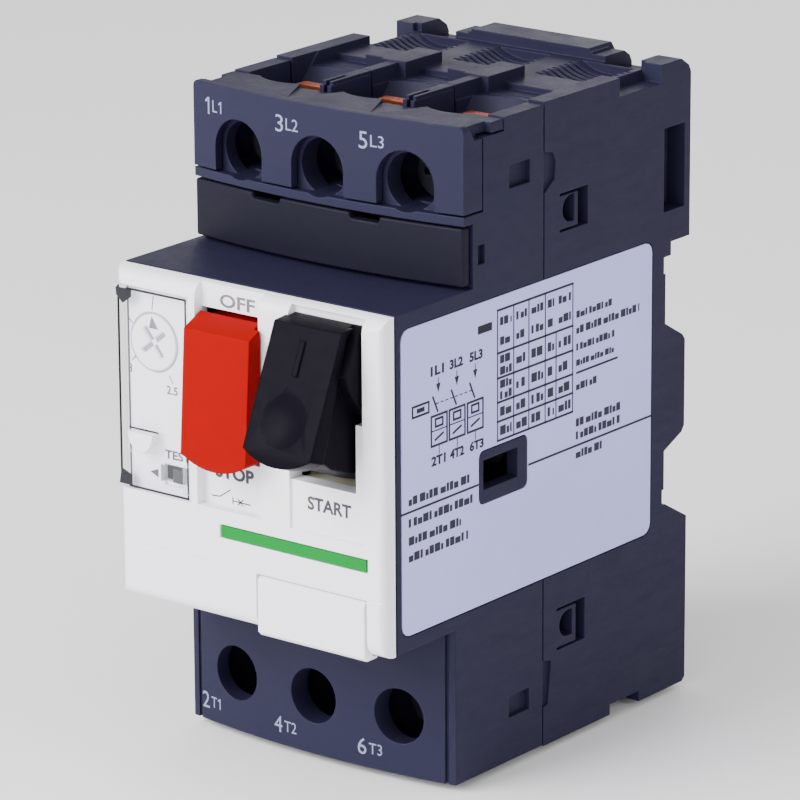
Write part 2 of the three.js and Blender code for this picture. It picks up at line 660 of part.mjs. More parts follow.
function startButton() {
  const wing = [
    CAP_TIP, [-62.3, 17.6], [-63.2, 11.6], ...arc(BUTTON_PIVOT.y, BUTTON_PIVOT.z, 11.6, 218, 262, 5),
    [-54.0, 15.0], [-58.9, 17.1], [-60.3, 16.6], [-60.9, 16.5],
  ];
  const bar = prismX([[-64.0, 10.8], [-64.0, 15.4], [-64.9, 15.4], [-65.2, 10.8]], 12.1, 12.9);
  const dimple = thumbDimple(12.4, -64.66, 5.6);
  const pressed = cut(join(pressedButton(START), bar, prismX(wing, START.x1 - 0.3, 19.0)), dimple);
  return swungOut(pressed);
}

add('start_button', startButton(), 'black');
add('stop_button', pressedButton(STOP), 'red');
add('button_pin', rodX(BUTTON_PIVOT.y, BUTTON_PIVOT.z, 0.95, -10.3, 20.4, 12), 'steel');

// ---------------------------------------------------------------- operating mechanism

const LEVER_PIVOT = { y: -42.0, z: 5.0 };
const LATCH_PIVOT = { y: -44.0, z: -10.0 };

function mechanismFrame() {
  const base = block(-10.4, 20.5, -47.4, -46.0, -12.5, 20.6);
  const shelf = join(
    block(-8.4, 19.0, -57.0, -46.5, -3.0, -1.3),
    block(-8.4, 2.6, -58.8, -56.0, -3.0, -1.3),
    block(7.2, 19.0, -58.8, -56.0, -3.0, -1.3),
  );
  const cheeks = join(
    block(-10.4, -8.6, -57.0, -46.5, 15.6, 20.9),
    block(3.0, 6.4, -57.0, -46.5, 15.6, 20.9),
    block(19.3, 20.5, -57.0, -46.5, 15.6, 20.9),
  );
  const leverEars = join(
    block(-10.4, -9.4, -46.5, -40.0, 3.0, 7.0),
    block(10.6, 12.2, -46.5, -40.0, 3.0, 7.0),
  );
  const latchEars = mirroredBlocks(6.6, 8.0, -46.5, -42.2, -12.2, -8.0);
  return cut(join(base, shelf, cheeks, leverEars, latchEars),
    rodX(BUTTON_PIVOT.y, BUTTON_PIVOT.z, 1.1, -12, 22, 12),
    rodX(LEVER_PIVOT.y, LEVER_PIVOT.z, 1.2, -13, 13, 12),
    rodX(LATCH_PIVOT.y, LATCH_PIVOT.z, 1.0, -9, 9, 12),
    block(-7.0, 1.0, -48, -45, 3.0, 13.0),
    block(14.0, 18.5, -48, -45, 3.0, 13.0),
  );
}

function driveLever() {
  const { y, z } = LEVER_PIVOT;
  return join(
    rodX(y, z, 1.0, -10.3, 12.1, 12),
    rodX(y, z, 1.8, -9.0, 10.2, 12),
    block(-9.0, -5.0, y - 0.8, y + 0.8, z, 14.2),
    block(5.0, 9.0, y - 0.8, y + 0.8, z, 14.2),
    block(-2.5, 4.0, y - 0.8, y + 0.8, -1.0, z),
  );
}

function tripLatch() {
  const { y, z } = LATCH_PIVOT;
  return join(
    rodX(y, z, 0.85, -7.9, 7.9, 12),
    rodX(y, z, 1.5, -6.2, 6.2, 12),
    block(-2.0, 3.5, y - 0.7, y + 0.7, z, -3.6),
    block(-5.5, 5.5, y, -37.0, z - 0.7, z + 0.7),
  );
}

add('mechanism_frame', mechanismFrame(), 'beige');
add('drive_lever', driveLever(), 'steel');
add('trip_latch', tripLatch(), 'steel');

// ---------------------------------------------------------------- test slider and trip bar

const TRIP_Z = { z0: -10.6, z1: -9.0 };

add('test_slider', join(
  block(-13.5, -11.8, -60.9, -33.6, -5.7, -3.9),
  block(-13.5, -11.8, -56.6, -40.0, -8.0, -5.5),
), 'bakelite');

function tripBar() {
  const slots = perPole((x) => block(x - 1.7, x + 2.9, -33.8, -28.9, -12, -8));
  const finger = block(-15.3, -13.9, -35.2, -33.9, TRIP_Z.z0, -3.9);
  return join(cut(block(-18.3, 20.3, -35.2, -28.0, TRIP_Z.z0, TRIP_Z.z1), slots), finger);
}

add('trip_bar', tripBar(), 'bakelite');

// ---------------------------------------------------------------- contacts and their carrier

const FIXED_FACE = -15.9;
const CONTACT_GAP = 3.0;
const UPPER_TIP = 20.9;
const LOWER_TIP = 7.1;
const TIP_HALF = 1.5;

function contactTip(x, z, y0, y1) {
  return block(x - 2.4, x + 2.4, y0, y1, z - TIP_HALF, z + TIP_HALF);
}

function movingContact(x) {
  const face = FIXED_FACE + CONTACT_GAP;
  return join(
    block(x - 2.4, x + 2.4, face + 0.8, face + 2.0, 5.0, 23.0),
    contactTip(x, UPPER_TIP, face, face + 0.9),
    contactTip(x, LOWER_TIP, face, face + 0.9),
  );
}

function contactCarrier() {
  return join(
    block(-18.5, 18.5, -6.4, -3.4, 12.2, 15.8),
    mirroredBlocks(6.25, 7.65, -40.6, -3.5, 12.4, 15.6),
  );
}

add('contact_carrier', contactCarrier(), 'bakelite');

// ---------------------------------------------------------------- one pole's parts

const LINE_BAR = -29.9;           // front face of the upright copper bar in a line terminal
const LOAD_SHIFT = -1.9;          // the load terminals sit this much further forward
const LOAD_BAR = LINE_BAR + LOAD_SHIFT;

function lineTerminal(x) {
  const strip = join(
    block(x - 3.2, x + 1.0, LINE_BAR, -28.0, 40.4, 41.8),
    block(x - 3.2, x + 1.0, LINE_BAR, LINE_BAR + PLATE, 39.4, 41.8),
    block(x - 4.6, x + 4.6, LINE_BAR, LINE_BAR + PLATE, 24.0, 39.6),
    block(x - 4.6, x + 4.6, LINE_BAR, -16.7, 24.0, 24.0 + PLATE),
    block(x - 2.4, x + 2.4, -16.7 - PLATE, -16.7, 19.0, 24.5),
    contactTip(x, UPPER_TIP, -16.8, FIXED_FACE),
  );
  return cut(strip, rodY(x, HOLE_Z, SCREW_R + 0.3, LINE_BAR - 1, LINE_BAR + 2, 12));
}

function loadTerminal(x) {
  const strip = join(
    block(x - 4.6, x + 4.6, LOAD_BAR, -28.4, -42.2, -40.8),
    block(x - 4.6, x + 4.6, LOAD_BAR, LOAD_BAR + PLATE, -42.2, -26.0),
    block(x - 4.6, x + 4.6, -33.3, -28.4, -27.4, -26.0),
  );
  return cut(strip, rodY(x, -HOLE_Z, SCREW_R + 0.3, LOAD_BAR - 1, LOAD_BAR + 2, 12));
}

// A wound coil on a bobbin, lying along Y, with the fixed contact it feeds standing on top.
function magnetCoil(x) {
  const axisZ = -3.2;
  const front = -24.4;
  const bore = 2.1;
  const turns = 4;
  const pitch = 3.4;
  const profile = [[bore, 0], [5.6, 0], [5.6, 0.8], [4.6, 0.8]];
  for (let i = 0; i < turns; i += 1) {
    const start = 1.2 + pitch * i;
    profile.push([4.6, start], [5.2, start + 0.4], [5.2, start + 2.4], [4.6, start + 2.8]);
  }
  profile.push([4.6, 15.0], [5.6, 15.0], [5.6, 15.8], [bore, 15.8], [bore, 0]);
  const winding = new THREE.LatheGeometry(profile.map(([r, h]) => new THREE.Vector2(r, h)), 12);
  winding.translate(x, front, axisZ);
  const link = block(x - 2.4, x + 2.4, -16.7 - PLATE, -16.7, 0.5, 9.0);
  return join(toSolid(winding), link, contactTip(x, LOWER_TIP, -16.8, FIXED_FACE));
}

function plunger(x) {
  return join(rodY(x, -3.2, 1.7, -28.4, -12.0, 12), rodY(x, -3.2, 2.8, -28.4, -26.9, 12));
}

function bimetal(x) {
  const strip = block(x - 0.45, x + 0.45, -33.2, -29.3, -25.7, -8.4);
  const heater = [];
  for (let i = 0; i < 5; i += 1) {
    const z = -23.5 + 2.3 * i;
    heater.push(block(x - 0.95, x + 0.95, -33.5, -29.0, z, z + 1.2));
  }
  return join(strip, ...heater);
}

// Splitter plates on a common back.
function arcChute(x) {
  const outline = [[-4.6, 26.4], [-4.6, 38.4]];
  const plates = 5;
  for (let i = plates - 1; i >= 0; i -= 1) {
    const z = 26.4 + 2.75 * i;
    outline.push([-20.0, z + 1.0], [-20.0, z]);
    if (i > 0) {
      outline.push([-6.0, z], [-6.0, z - 1.75]);
    }
  }
  return prismX(outline, x - 5.2, x + 5.2);
}

// A captive screw and the plate that travels along it; shift moves both along Y.
function terminalScrew(x, z, shift) {
  const headFront = -39.1 + shift;
  const head = rodY(x, z, HEAD_R, headFront, headFront + 2.4, 20);
  const shaft = rodY(x, z, SCREW_R, headFront + 2.2, -28.4 + shift, 12);
  const slot = { half: 2.2, width: 0.45, depth: 1.2 };
  const recess = join(
    block(x - slot.half, x + slot.half, headFront - 1, headFront + slot.depth, z - slot.width, z + slot.width),
    block(x - slot.width, x + slot.width, headFront - 1, headFront + slot.depth, z - slot.half, z + slot.half),
  );
  return cut(join(head, shaft), recess);
}

function clampPlate(x, z, shift) {
  const front = -36.4 + shift;
  const half = 5.2;
  const lipZ = z > 0 ? [39.0, 39.9] : [-39.9, -39.0];
  const lip = block(x - half, x + half, front, front + 0.8, lipZ[0], lipZ[1]);
  const plate = block(x - half, x + half, front, front + PLATE, z - 3.1, z + 3.1);
  return cut(join(plate, lip), rodY(x, z, SCREW_R + 0.3, front - 1, front + 2, 12));
}

function contactSpring(name, x) {
  const geometry = helix(1.5, 0.5, 3.9, 3);
  geometry.rotateX(-Math.PI / 2);
  geometry.translate(x, -10.6, 14.0);
  addGeometry(name, geometry, 'steel');
}

POLES.forEach((x, index) => {
  const pole = index + 1;
  add(`line_terminal_${pole}`, lineTerminal(x), 'copper');
  add(`load_terminal_${pole}`, loadTerminal(x), 'copper');
  add(`line_screw_${pole}`, terminalScrew(x, HOLE_Z, 0), 'steel');
  add(`load_screw_${pole}`, terminalScrew(x, -HOLE_Z, LOAD_SHIFT), 'steel');
  add(`line_clamp_${pole}`, clampPlate(x, HOLE_Z, 0), 'steel');
  add(`load_clamp_${pole}`, clampPlate(x, -HOLE_Z, LOAD_SHIFT), 'steel');
  add(`moving_contact_${pole}`, movingContact(x), 'copper');
  contactSpring(`contact_spring_${pole}`, x);
  add(`arc_chute_${pole}`, arcChute(x), 'steel');
  add(`magnet_coil_${pole}`, magnetCoil(x), 'copper');
  add(`plunger_${pole}`, plunger(x), 'steel');
  add(`bimetal_${pole}`, bimetal(x), 'bimetal');
});

// ---------------------------------------------------------------- DIN-rail clip and its spring

function dinClip() {
  const nose = [[-0.2, -18.0], [1.3, -17.6], [1.3, -16.3], [2.4, -16.3], [3.6, -17.6], [3.6, -24], [-0.2, -24]];
  return cut(join(
    prismX(nose, -4.5, 4.5),
    block(-6.2, 6.2, -0.3, 3.5, -42.8, -21.0),
    block(-6.2, 6.2, -10.6, 0.5, -42.8, -41.3),
    block(-6.2, 6.2, -10.6, -5.9, -45.3, -42.5),
  ), block(-2.3, 2.3, -2, 6, -40.2, -25.0));
}

add('din_clip', dinClip(), 'bakelite');

// The spring has its squeezed length, so it clears its seat over the whole travel of the clip.
const clipSpring = helix(1.35, 0.6, 6.6, 5);
clipSpring.translate(0, 1.6, -32.0);
addGeometry('din_clip_spring', clipSpring, 'steel');

// ---------------------------------------------------------------- rating label on the right side

function ratingLabel() {
  const window = prismX(roundedOutline(WINDOW_FRAME, 0.15), HALF_W - 1, HALF_W + 1);
  return cut(prismX(roundedOutline(LABEL, 0), LABEL_FLOOR + 0.1, HALF_W), window);
}

add('rating_label', ratingLabel(), 'label');

export default group;
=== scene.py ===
"""Looks of a 45 mm motor protection breaker: materials, printed marks, painted shade on the clear flap, a
dark lip in the housing joint, camera and light.
"""
import json
import math

import bmesh
import bpy
from mathutils import Matrix, Vector


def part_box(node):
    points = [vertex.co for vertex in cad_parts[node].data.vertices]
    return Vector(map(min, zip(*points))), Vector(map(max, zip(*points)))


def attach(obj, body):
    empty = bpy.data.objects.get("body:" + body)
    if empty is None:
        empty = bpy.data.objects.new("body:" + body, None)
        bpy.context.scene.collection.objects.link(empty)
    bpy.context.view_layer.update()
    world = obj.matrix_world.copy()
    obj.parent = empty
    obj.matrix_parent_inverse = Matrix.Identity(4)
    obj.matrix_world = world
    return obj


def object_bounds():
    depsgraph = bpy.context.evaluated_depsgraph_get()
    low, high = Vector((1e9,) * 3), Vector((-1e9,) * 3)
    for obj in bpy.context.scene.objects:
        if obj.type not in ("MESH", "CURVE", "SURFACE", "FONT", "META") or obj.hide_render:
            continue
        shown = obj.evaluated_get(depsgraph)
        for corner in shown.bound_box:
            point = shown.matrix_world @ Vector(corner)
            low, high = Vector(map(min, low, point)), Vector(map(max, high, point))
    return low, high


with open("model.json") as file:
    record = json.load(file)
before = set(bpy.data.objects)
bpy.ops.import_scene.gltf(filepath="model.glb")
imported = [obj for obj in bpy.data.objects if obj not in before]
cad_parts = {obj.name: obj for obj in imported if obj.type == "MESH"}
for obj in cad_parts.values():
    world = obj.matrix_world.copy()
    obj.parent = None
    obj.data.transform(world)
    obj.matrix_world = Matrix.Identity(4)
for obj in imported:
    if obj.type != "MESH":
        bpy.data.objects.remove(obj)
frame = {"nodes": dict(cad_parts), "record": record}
cad_low, cad_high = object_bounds()
nodes = frame["nodes"]

MM = 0.001


# ---------------------------------------------------------------- materials

def srgb(red, green, blue):
    """An 8-bit screen colour as linear RGBA."""
    def linear(value):
        share = value / 255
        return share / 12.92 if share <= 0.04045 else ((share + 0.055) / 1.055) ** 2.4
    return (linear(red), linear(green), linear(blue), 1.0)


def shade(colour, factor):
    return tuple(min(1.0, channel * factor) for channel in colour[:3]) + (1.0,)


class Graph:
    """A short way to write a node tree that ends in one Principled shader."""

    def __init__(self, name):
        self.material = bpy.data.materials.new(name)
        self.material.use_nodes = True
        self.tree = self.material.node_tree
        self.shader = self.tree.nodes["Principled BSDF"]
        self.coords = self.tree.nodes.new("ShaderNodeTexCoord").outputs["Object"]

    def node(self, kind, **settings):
        made = self.tree.nodes.new(kind)
        for key, value in settings.items():
            setattr(made, key, value)
        return made

    def link(self, source, target):
        self.tree.links.new(source, target)

    def set(self, **values):
        for key, value in values.items():
            self.shader.inputs[key.replace("_", " ")].default_value = value

    def noise(self, scale, detail=3.0, rough=0.55, stretch=None):
        texture = self.node("ShaderNodeTexNoise")
        texture.inputs["Scale"].default_value = scale
        texture.inputs["Detail"].default_value = detail
        texture.inputs["Roughness"].default_value = rough
        source = self.coords
        if stretch:
            mapping = self.node("ShaderNodeMapping")
            mapping.inputs["Scale"].default_value = stretch
            self.link(self.coords, mapping.inputs["Vector"])
            source = mapping.outputs["Vector"]
        self.link(source, texture.inputs["Vector"])
        return texture.outputs["Fac"]

    def remap(self, source, low, high, new_low, new_high):
        mapper = self.node("ShaderNodeMapRange")
        self.link(source, mapper.inputs["Value"])
        for key, value in zip(("From Min", "From Max", "To Min", "To Max"), (low, high, new_low, new_high)):
            mapper.inputs[key].default_value = value
        return mapper.outputs["Result"]

    def math(self, operation, first, second):
        made = self.node("ShaderNodeMath", operation=operation)
        for socket, value in zip(made.inputs, (first, second)):
            if isinstance(value, (int, float)):
                socket.default_value = value
            else:
                self.link(value, socket)
        return made.outputs[0]

    def mix(self, factor, first, second):
        made = self.node("ShaderNodeMix", data_type="RGBA")
        self.link(factor, made.inputs[0])
        for socket, value in ((made.inputs[6], first), (made.inputs[7], second)):
            if isinstance(value, tuple):
                socket.default_value = value
            else:
                self.link(value, socket)
        return made.outputs[2]

    def rounded(self, radius):
        """The surface normal, turned smoothly over sharp edges."""
        bevel = self.node("ShaderNodeBevel", samples=6)
        bevel.inputs["Radius"].default_value = radius
        return bevel.outputs["Normal"]

    def edges(self, radius):
        """Near 1 along sharp edges, 0 on flats."""
        bevel = self.node("ShaderNodeBevel", samples=4)
        bevel.inputs["Radius"].default_value = radius
        geometry = self.node("ShaderNodeNewGeometry")
        dot = self.node("ShaderNodeVectorMath", operation="DOT_PRODUCT")
        self.link(bevel.outputs["Normal"], dot.inputs[0])
        self.link(geometry.outputs["Normal"], dot.inputs[1])
        return self.remap(dot.outputs["Value"], 0.995, 0.85, 0.0, 1.0)

    def bump(self, height, distance, strength=1.0, under=None):
        made = self.node("ShaderNodeBump")
        made.inputs["Distance"].default_value = distance
        made.inputs["Strength"].default_value = strength
        self.link(height, made.inputs["Height"])
        if under:
            self.link(under, made.inputs["Normal"])
        return made.outputs["Normal"]


def moulded(name, colour, rough, grain=2600.0, depth=0.012, mottle=0.05, wear=0.3, wear_tint=1.6,
            specular=0.5, rounding=0.0):
    """Moulded plastic: slow mottling, a satin grain, rubbed edges and faint scuffs."""
    g = Graph(name)
    slow = g.noise(38.0)
    fine = g.noise(420.0, 4.0)
    grain_noise = g.noise(grain, 2.0, 0.6)
    scuffs = g.noise(160.0, 6.0, 0.7, stretch=(1.0, 1.0, 5.0))
    tone = g.remap(slow, 0.3, 0.7, 0.0, 1.0)
    base = g.mix(tone, shade(colour, 1 - mottle), shade(colour, 1 + mottle))
    speck = g.remap(fine, 0.35, 0.65, 0.0, 1.0)
    base = g.mix(speck, base, shade(colour, 1 + mottle * 0.6))
    worn = g.math("MULTIPLY", g.edges(0.35 * MM), g.remap(fine, 0.42, 0.66, 0.0, wear))
    g.link(g.mix(worn, base, shade(colour, wear_tint)), g.shader.inputs["Base Color"])
    roughness = g.remap(scuffs, 0.3, 0.72, rough[0], rough[1])
    roughness = g.math("ADD", roughness, g.remap(grain_noise, 0.3, 0.7, -0.03, 0.03))
    g.link(roughness, g.shader.inputs["Roughness"])
    under = g.rounded(rounding * MM) if rounding else None
    waves = g.bump(slow, 0.05 * MM, 0.5, under)
    g.link(g.bump(grain_noise, depth * MM, 1.0, waves), g.shader.inputs["Normal"])
    g.set(Specular_IOR_Level=specular)
    return g.material


def rolled(name, colour, rough, tarnish, stretch=(1.0, 1.0, 14.0)):
    """Drawn or rolled metal: fine streaks, soft tarnish and bright edges."""
    g = Graph(name)
    streaks = g.noise(900.0, 3.0, 0.6, stretch=stretch)
    blotches = g.noise(130.0, 4.0, 0.6)
    dull = g.remap(blotches, 0.42, 0.72, 0.0, 0.75)
    base = g.mix(dull, colour, tarnish)
    bright = g.math("MULTIPLY", g.edges(0.25 * MM), 0.5)
    g.link(g.mix(bright, base, shade(colour, 1.25)), g.shader.inputs["Base Color"])
    roughness = g.remap(streaks, 0.3, 0.7, rough[0], rough[1])
    g.link(g.math("ADD", roughness, g.remap(dull, 0.0, 0.75, 0.0, 0.15)), g.shader.inputs["Roughness"])
    g.link(g.bump(streaks, 0.006 * MM), g.shader.inputs["Normal"])
    g.set(Metallic=1.0)
    return g.material


def clear_plastic(name):
    """Clear moulded plastic, a little cloudy, denser at its edges and finely scratched."""
    g = Graph(name)
    haze = g.noise(90.0, 5.0)
    hairlines = g.noise(260.0, 6.0, 0.75, stretch=(6.0, 1.0, 0.6))
    tone = g.remap(haze, 0.3, 0.7, 0.0, 1.0)
    g.link(g.mix(tone, srgb(222, 224, 236), srgb(240, 241, 248)), g.shader.inputs["Base Color"])
    body = g.remap(haze, 0.3, 0.7, 0.02, 0.05)
    rim = g.math("MULTIPLY", g.edges(0.45 * MM), 0.5)
    scratch = g.remap(hairlines, 0.62, 0.70, 0.0, 0.12)
    alpha = g.math("ADD", g.math("ADD", body, rim), scratch)
    g.link(alpha, g.shader.inputs["Alpha"])
    g.link(g.remap(hairlines, 0.3, 0.7, 0.05, 0.2), g.shader.inputs["Roughness"])
    g.link(g.bump(hairlines, 0.004 * MM), g.shader.inputs["Normal"])
    g.set(IOR=1.58, Specular_IOR_Level=0.6)
    return g.material


def printed_film(name, colour):
    """Satin label film: metallic flakes under a soft varnish, slightly rippled."""
    g = Graph(name)
    slow = g.noise(45.0)
    flakes = g.noise(5200.0, 1.0)
    tone = g.remap(slow, 0.3, 0.7, 0.0, 1.0)
    base = g.mix(tone, shade(colour, 0.94), shade(colour, 1.05))
    sparkle = g.remap(flakes, 0.5, 0.75, 0.0, 0.35)
    g.link(g.mix(sparkle, base, shade(colour, 1.2)), g.shader.inputs["Base Color"])
    g.link(g.remap(flakes, 0.3, 0.7, 0.42, 0.56), g.shader.inputs["Roughness"])
    g.link(g.bump(slow, 0.06 * MM), g.shader.inputs["Normal"])
    g.set(Specular_IOR_Level=0.3)
    return g.material


def ink(name, colour, cover=0.12):
    """Printing ink with small thin spots."""
    g = Graph(name)
    patches = g.noise(1400.0, 3.0)
    thin = g.remap(patches, 0.5, 0.75, 0.0, 1.0)
    g.link(g.mix(thin, colour, shade(colour, 1 + cover * 6)), g.shader.inputs["Base Color"])
    g.link(g.remap(patches, 0.3, 0.7, 0.45, 0.65), g.shader.inputs["Roughness"])
    g.link(g.bump(patches, 0.003 * MM), g.shader.inputs["Normal"])
    g.set(Specular_IOR_Level=0.2)
    return g.material


def floor_paint(name, colour):
    g = Graph(name)
    slow = g.noise(3.0)
    fine = g.noise(240.0)
    tone = g.remap(slow, 0.3, 0.7, 0.0, 1.0)
    g.link(g.mix(tone, shade(colour, 0.985), colour), g.shader.inputs["Base Color"])
    g.link(g.remap(fine, 0.3, 0.7, 0.55, 0.7), g.shader.inputs["Roughness"])
    g.link(g.bump(fine, 0.02 * MM), g.shader.inputs["Normal"])
    return g.material


DARK = moulded("dark_shell", srgb(31, 30, 51), (0.42, 0.60), wear=0.4, wear_tint=2.4, specular=0.12,
               rounding=0.22)
# a darker copy of the dark shell plastic: painted shade on the aux slot cover
DARK_SHELL_SHADED = moulded("dark_shell_painted_shade", srgb(21, 20, 32), (0.42, 0.60), wear=0.4, wear_tint=2.4, specular=0.09)
WHITE = moulded("white_cover", srgb(240, 240, 247), (0.38, 0.5), mottle=0.012, wear=0.2, wear_tint=1.03)
RED = moulded("red_button", srgb(136, 0, 0), (0.34, 0.48), grain=1800.0, mottle=0.03, wear=0.2,
              wear_tint=1.2, specular=0.03, rounding=0.35)
BLACK = moulded("black_button", srgb(13, 10, 18), (0.30, 0.44), grain=1800.0, wear=0.35, wear_tint=2.4,
                specular=0.02, rounding=0.35)
GREEN = moulded("green_strip", srgb(0, 122, 48), (0.4, 0.55), mottle=0.03, wear=0.2, wear_tint=1.1,
                specular=0.03)
BEIGE = moulded("beige_insulator", srgb(214, 206, 184), (0.5, 0.65), mottle=0.05, rounding=0.15)
NYLON = moulded("filled_nylon", srgb(30, 29, 33), (0.5, 0.7), mottle=0.12, wear_tint=1.8, rounding=0.15)
# painted shade: a dark smoky plastic for the plates on the clear flap that stand for its dark hinge corners
# and the shadow in its gaps
FLAP_SHADE_PAINT = moulded("flap_painted_shade", srgb(30, 30, 36), (0.25, 0.4), mottle=0.35, specular=0.2)
COPPER = rolled("copper_strip", srgb(196, 98, 66), (0.22, 0.42), srgb(120, 56, 38))
STEEL = rolled("zinc_steel", srgb(196, 200, 206), (0.25, 0.45), srgb(140, 142, 148))
# zinc steel darkened: painted shade on the screws and clamps deep in their holes
SCREW_STEEL_SHADED = rolled("screw_steel_painted_shade", srgb(58, 58, 66), (0.35, 0.55), srgb(34, 34, 40))
BIMETAL = rolled("bimetal_strip", srgb(168, 160, 148), (0.3, 0.5), srgb(112, 104, 96))
CLEAR = clear_plastic("clear_flap")
FILM = printed_film("label_film", srgb(174, 172, 228))
INK = ink("black_ink", srgb(26, 25, 36))
SOFT_INK = ink("soft_black_ink", srgb(36, 34, 48))
GREY_INK = ink("grey_ink", srgb(104, 96, 106))
DARK_GREY_INK = ink("dark_grey_ink", srgb(62, 58, 68))
CROSS_SHADE = ink("cross_shade", srgb(138, 136, 146), 0.05)
PALE_INK = ink("pale_ink", srgb(124, 131, 158), 0.04)

FINISHES = {
    "shell": DARK, "white": WHITE, "clear": CLEAR, "red": RED, "black": BLACK, "green": GREEN,
    "label": FILM, "beige": BEIGE, "copper": COPPER, "steel": STEEL, "bimetal": BIMETAL, "insulator": NYLON,
}


# ---------------------------------------------------------------- the CAD nodes: finishes, soft edges

# nodes whose edges are rounded in the mesh, and the radius
ROUNDED_EDGES = {
    "front_cover": 0.3,
    "aux_slot_cover": 0.3,
    "corner_blank": 0.15,
    "setting_window": 0.15,
    "setting_dial": 0.15,
}
CREASE = math.radians(32)         # sharper turns than this stay crisp or are rounded
WELD = 0.004 * MM


def smooth_round_stretches(obj):
    """Smooth shading on the round stretches, crisp edges at the corners."""
    for polygon in obj.data.polygons:
        polygon.use_smooth = True
    weld = obj.modifiers.new("weld", "WELD")
    weld.merge_threshold = WELD
    split = obj.modifiers.new("split", "EDGE_SPLIT")
    split.split_angle = CREASE
    weigh_normals(obj)


def round_edges(obj, radius):
    """Welds the facets, merges flat ones and rounds the edges."""
    for polygon in obj.data.polygons:
        polygon.use_smooth = True
    weld = obj.modifiers.new("weld", "WELD")
    weld.merge_threshold = WELD
    flat = obj.modifiers.new("flat", "DECIMATE")
    flat.decimate_type = "DISSOLVE"
    flat.angle_limit = math.radians(1.0)
    bevel = obj.modifiers.new("bevel", "BEVEL")
    bevel.width = radius * MM
    bevel.segments = 2
    bevel.limit_method = "ANGLE"
    bevel.angle_limit = CREASE
    bevel.miter_outer = "MITER_ARC"
    weigh_normals(obj)


def weigh_normals(obj):
    weighted = obj.modifiers.new("normals", "WEIGHTED_NORMAL")
    weighted.weight = 80
    weighted.keep_sharp = False


SLOT_OF = {part["node"]: part["material_slot"] for part in frame["record"]["subparts"]}

for node_name, obj in nodes.items():
    in_screw_hole = "_screw_" in node_name or "_clamp_" in node_name
    obj.data.materials.clear()
    # screws and clamps take the darkened steel: painted shade deep in their holes
    finish = SCREW_STEEL_SHADED if in_screw_hole else FINISHES[SLOT_OF[node_name]]
    # the aux slot cover takes the darker copy of the shell: painted shade
    obj.data.materials.append(DARK_SHELL_SHADED if node_name == "aux_slot_cover" else finish)
    if node_name in ROUNDED_EDGES:
        round_edges(obj, ROUNDED_EDGES[node_name])
    else:
        smooth_round_stretches(obj)


# ---------------------------------------------------------------- printed marks

INK_THICKNESS = 0.03
SUNK = 0.01                       # how far the ink reaches into the surface below it
CROWN = 2.0                       # the terminal faces bulge by this much at their middle
HALF_WIDTH = cad_high.x / MM
SAME_POINT = 0.0005 * MM


class Sheet:
    """Printed marks gathered in one plane (u, v), raised as thin closed plates of ink."""

    def __init__(self):
        self.bm = bmesh.new()

    def polygon(self, points):
        top = [self.bm.verts.new((u, v, 1.0)) for u, v in points]
        low = [self.bm.verts.new((u, v, 0.0)) for u, v in points]
        self.bm.faces.new(top)
        self.bm.faces.new(list(reversed(low)))
        for i, corner in enumerate(points):
            j = (i + 1) % len(points)
            self.bm.faces.new((low[i], low[j], top[j], top[i]))

    def rect(self, u0, v0, u1, v1):
        self.polygon([(u0, v0), (u1, v0), (u1, v1), (u0, v1)])

    def line(self, start, end, width):
        along = (Vector(end) - Vector(start)).normalized()
        side = Vector((-along.y, along.x)) * width / 2
        first, last = Vector(start), Vector(end)
        self.polygon([tuple(first - side), tuple(last - side), tuple(last + side), tuple(first + side)])

    def box(self, u0, v0, u1, v1, width):
        """A rectangular outline."""
        half = width / 2
        self.rect(u0 - half, v0 - half, u1 + half, v0 + half)
        self.rect(u0 - half, v1 - half, u1 + half, v1 + half)
        self.rect(u0 - half, v0 + half, u0 + half, v1 - half)
        self.rect(u1 - half, v0 + half, u1 + half, v1 - half)

    def ring(self, u, v, radius, width, steps=48):
        rows = []
        for r, w in ((radius, 0.0), (radius, 1.0), (radius - width, 1.0), (radius - width, 0.0)):
            turns = [2 * math.pi * i / steps for i in range(steps)]
            rows.append([self.bm.verts.new((u + r * math.cos(t), v + r * math.sin(t), w)) for t in turns])
        for row, following in zip(rows, rows[1:] + rows[:1]):
            for i in range(steps):
                j = (i + 1) % steps
                self.bm.faces.new((row[i], row[j], following[j], following[i]))

    def text(self, words, u0, v0, u1, v1, weight=0.0):
        """Words stretched to fill the box from (u0, v0) to (u1, v1)."""
        curve = bpy.data.curves.new("words", "FONT")
        curve.body = words
        curve.extrude = 0.5
        curve.offset = weight
        curve.resolution_u = 3
        writer = bpy.data.objects.new("words", curve)
        mesh = bpy.data.meshes.new_from_object(writer)
        low = [min(vert.co[i] for vert in mesh.vertices) for i in range(3)]
        high = [max(vert.co[i] for vert in mesh.vertices) for i in range(3)]
        for vert in mesh.vertices:
            share = [(vert.co[i] - low[i]) / (high[i] - low[i]) for i in range(3)]
            vert.co = (u0 + share[0] * (u1 - u0), v0 + share[1] * (v1 - v0), share[2])
        self.bm.from_mesh(mesh)
        bpy.data.objects.remove(writer)
        bpy.data.curves.remove(curve)
        bpy.data.meshes.remove(mesh)

    def one(self, u, v, height):
        """The digit 1, drawn with a flag."""
        stem = 0.13 * height
        self.rect(u + 0.26 * height, v, u + 0.26 * height + stem, v + height)
        self.polygon([(u + 0.04 * height, v + 0.68 * height), (u + 0.26 * height, v + 0.78 * height),
                      (u + 0.26 * height, v + height), (u + 0.04 * height, v + 0.80 * height)])

    def word_blocks(self, u0, u1, v, height, seed):
        """A line of unreadable print: short blocks of changing length."""
        at = u0
        step = 0
        while at < u1:
            length = height * (0.4 + 0.18 * ((seed * 7 + step * 5) % 4))
            end = min(at + length, u1)
            if end - at > 0.2 * height:
                self.rect(at, v, end, v + height * (0.95 if (seed + step) % 3 else 0.7))
            at = end + height * (0.16 if (seed + step) % 4 else 0.45)
            step += 1


